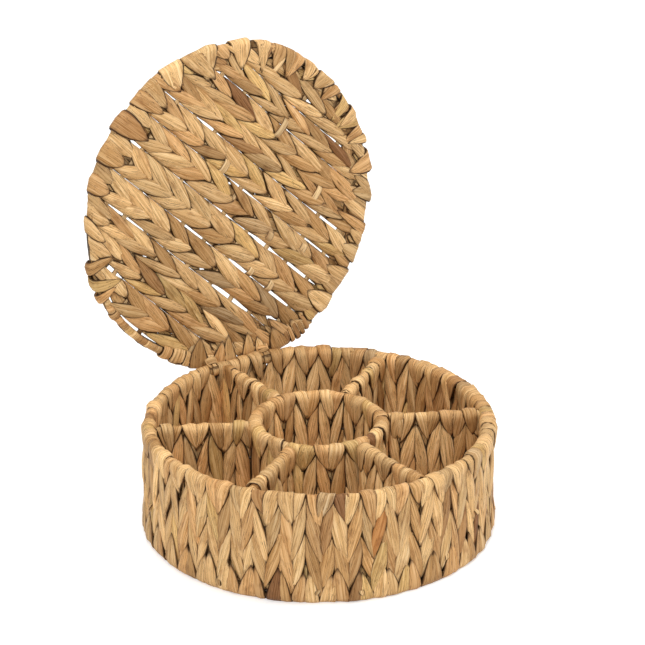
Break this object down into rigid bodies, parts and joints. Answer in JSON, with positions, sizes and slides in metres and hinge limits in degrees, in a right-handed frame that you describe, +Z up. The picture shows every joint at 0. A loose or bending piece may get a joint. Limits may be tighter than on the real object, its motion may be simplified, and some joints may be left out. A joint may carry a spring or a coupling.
{
  "type": "tea bag organizer box",
  "caption": "Round woven organizer box with a central cup, radial dividers and a hinged woven lid, for tea bags and sugar.",
  "frame": {"origin": "centre of the flat underside of the base, on the table", "axes": "+Z up, +Y from the centre towards the hinge, +X along the hinge line to the right as seen from the front, lid drawn open"},
  "size_m": [0.2504, 0.2631, 0.3146],
  "materials": {
    "woven_strand": "matte",
    "rim_strand": "matte",
    "tie_strand": "matte",
    "cross_strip": "matte",
    "steel_wire": "satin"
  },
  "bodies": {
    "basket": {"base_ring_wire": "steel_wire", "lower_ring_wire": "steel_wire", "upper_ring_wire": "steel_wire", "top_ring_wire": "steel_wire", "hinge_wire": "steel_wire", "cup_ring_wires": "steel_wire", "base_cross_strips": "cross_strip", "base_weave": "woven_strand", "base_edge_wrap": "rim_strand", "wall_row_lower": "woven_strand", "wall_row_middle": "woven_strand", "wall_row_upper": "woven_strand", "rim_wrap": "rim_strand", "cup_foot_wrap": "rim_strand", "cup_row_lower": "woven_strand", "cup_row_middle": "woven_strand", "cup_row_upper": "woven_strand", "cup_rim_wrap": "rim_strand", "divider_frame_1": "steel_wire", "divider_frame_2": "steel_wire", "divider_frame_3": "steel_wire", "divider_frame_4": "steel_wire", "divider_frame_5": "steel_wire", "divider_frame_6": "steel_wire", "divider_weave_1": "woven_strand", "divider_weave_2": "woven_strand", "divider_weave_3": "woven_strand", "divider_weave_4": "woven_strand", "divider_weave_5": "woven_strand", "divider_weave_6": "woven_strand", "divider_lashings": "tie_strand"},
    "lid": {"lid_ring_wire": "steel_wire", "lid_ring_wrap": "rim_strand", "lid_cross_strips": "cross_strip", "hinge_loop_left": "tie_strand", "hinge_loop_right": "tie_strand", "lid_row_01": "woven_strand", "lid_row_02": "woven_strand", "lid_row_03": "woven_strand", "lid_row_04": "woven_strand", "lid_row_05": "woven_strand", "lid_row_06": "woven_strand", "lid_row_07": "woven_strand", "lid_row_08": "woven_strand", "lid_row_09": "woven_strand", "lid_row_10": "woven_strand", "lid_row_11": "woven_strand", "lid_row_12": "woven_strand", "lid_row_13": "woven_strand", "lid_row_14": "woven_strand", "lid_row_15": "woven_strand", "lid_row_16": "woven_strand", "lid_row_17": "woven_strand", "lid_row_18": "woven_strand", "lid_row_19": "woven_strand", "lid_row_20": "woven_strand", "lid_row_21": "woven_strand", "lid_row_22": "woven_strand"}
  },
  "joints": [
    {"name": "lid_hinge", "type": "hinge", "parent": "basket", "child": "lid", "pos_m": [0, 0.11724, 0.0765], "axis": [1, 0, 0], "range_deg": [0, 91.6]}
  ]
}
